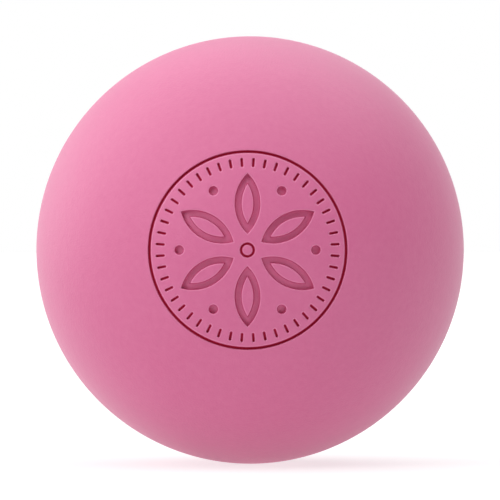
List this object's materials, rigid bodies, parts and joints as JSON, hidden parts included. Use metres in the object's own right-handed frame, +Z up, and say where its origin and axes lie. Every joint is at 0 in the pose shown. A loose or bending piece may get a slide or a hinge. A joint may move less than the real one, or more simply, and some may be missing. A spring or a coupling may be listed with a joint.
{
  "type": "massage ball",
  "caption": "Solid rubber massage ball, smooth and round, with a ring, small ticks and a petal rosette sunk into its front and a faint mould line round the middle.",
  "frame": {"origin": "centre of the ball", "axes": "+Z up, the sunk emblem faces -Y and its axis is Y, +X to the right as the emblem is looked at"},
  "size_m": [0.0636, 0.0635, 0.0636],
  "materials": {
    "pink_rubber": "matte moulded rubber, pink right through"
  },
  "bodies": {
    "root": {"rubber_ball": "pink_rubber"}
  },
  "joints": []
}
